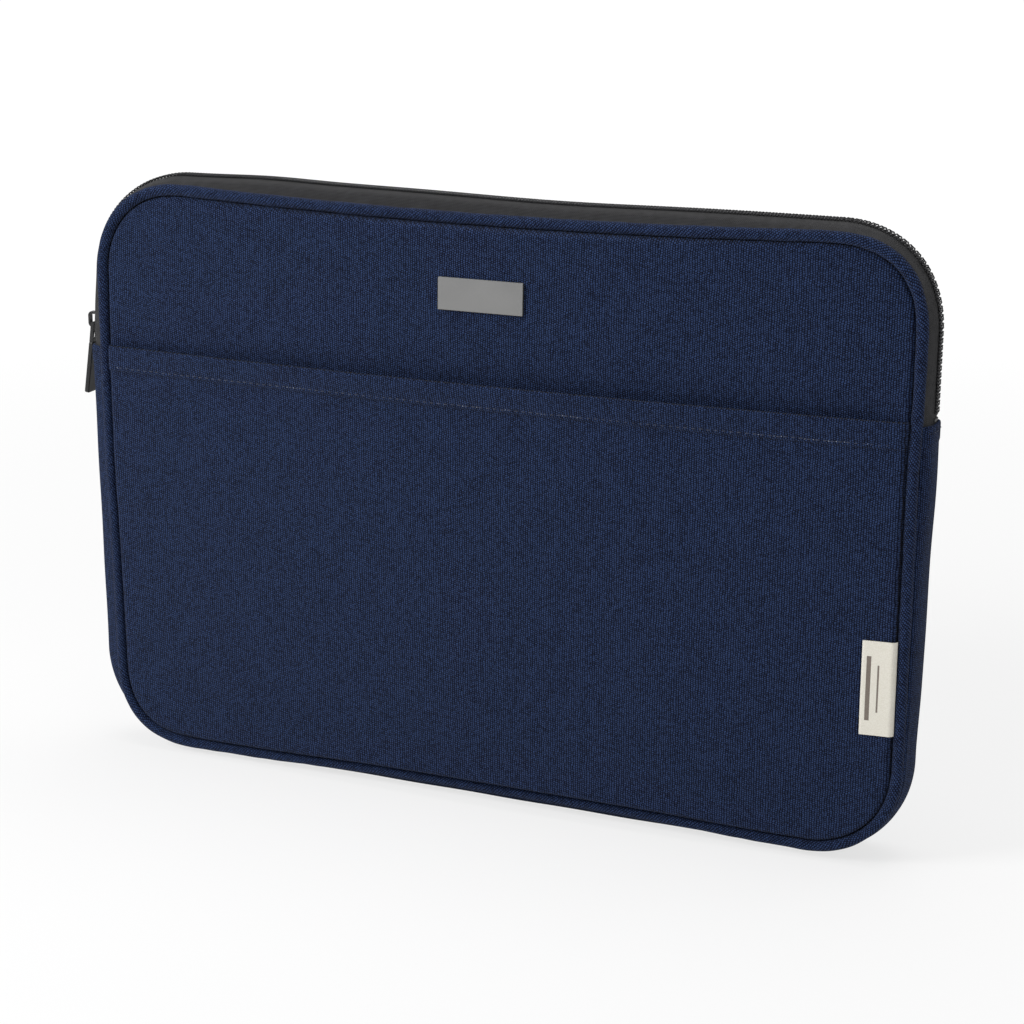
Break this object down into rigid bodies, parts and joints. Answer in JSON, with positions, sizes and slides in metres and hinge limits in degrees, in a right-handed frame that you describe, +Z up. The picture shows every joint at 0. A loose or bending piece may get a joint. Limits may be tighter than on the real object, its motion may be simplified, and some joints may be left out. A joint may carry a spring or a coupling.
{
  "type": "laptop sleeve",
  "caption": "Padded canvas laptop sleeve with corded piping, a zipped mouth over the top and down both sides, a flat slip pocket, a plain badge plate and a woven side label.",
  "frame": {"origin": "middle of the flat underside of the bottom gusset, on which the sleeve stands", "axes": "+X across the width towards the side label, +Y from the pocket side to the plain back, +Z up towards the zipped mouth"},
  "size_m": [0.3683, 0.0391, 0.2509],
  "materials": {
    "canvas": "matte dark navy ribbed canvas",
    "foam": "grey closed-cell padding",
    "lining": "thin plain-weave lining",
    "cord": "twisted cotton filler cord",
    "binding": "black grosgrain seam binding",
    "thread": "pale grey-blue sewing thread",
    "zipper_tape": "black woven zipper tape",
    "coil": "black nylon coil",
    "stop_metal": "black painted stamped metal",
    "badge_metal": "matte grey plated metal, bare",
    "label_weave": "cream woven damask, plain",
    "slider_metal": "black enamelled die-cast metal",
    "pull_plastic": "black moulded pull"
  },
  "bodies": {
    "sleeve": {"front_canvas_lower": "canvas", "front_foam_lower": "foam", "front_lining_lower": "lining", "back_canvas": "canvas", "back_foam": "foam", "back_lining": "lining", "pocket_panel": "canvas", "pocket_hem": "canvas", "pocket_hem_stitching": "thread", "front_piping_cover_lower": "canvas", "front_piping_cord_lower": "cord", "back_piping_cover": "canvas", "back_piping_cord": "cord", "front_seam_binding_lower": "binding", "back_seam_binding": "binding", "gusset_canvas": "canvas", "gusset_lining": "lining", "gusset_end_stitching": "thread", "zipper_tape_back": "zipper_tape", "zipper_tape_front_tails": "zipper_tape", "zipper_coil_back": "coil", "zipper_top_stops": "stop_metal", "zipper_bottom_stop": "stop_metal"},
    "front_lip": {"front_canvas_upper": "canvas", "front_foam_upper": "foam", "front_lining_upper": "lining", "front_piping_cover_upper": "canvas", "front_piping_cord_upper": "cord", "front_seam_binding_upper": "binding", "zipper_tape_front": "zipper_tape", "zipper_coil_front": "coil", "badge_plate": "badge_metal", "badge_backing_plate": "stop_metal"},
    "label": {"side_label": "label_weave"},
    "slider": {"slider_body": "slider_metal", "slider_bail": "slider_metal"},
    "pull": {"pull_link": "slider_metal", "pull_tab": "pull_plastic"}
  },
  "joints": [
    {"name": "mouth_open", "type": "hinge", "parent": "sleeve", "child": "front_lip", "pos_m": [0, -0.0183, 0.18], "axis": [1, 0, 0], "range_deg": [0, 28], "stiffness_Nm_per_rad": 0.06},
    {"name": "slider_travel", "type": "slide", "parent": "sleeve", "child": "slider", "axis": [0, 0, 1], "range_m": [0, 0.018]},
    {"name": "pull_swivel", "type": "hinge", "parent": "slider", "child": "pull", "pos_m": [-0.1849, 0, 0.185], "axis": [0, 1, 0], "range_deg": [-9.5, 154.5]},
    {"name": "label_flap", "type": "hinge", "parent": "sleeve", "child": "label", "pos_m": [0.1696, -0.0153, 0.075], "axis": [0, 0, 1], "range_deg": [0, 60], "stiffness_Nm_per_rad": 0.001}
  ]
}
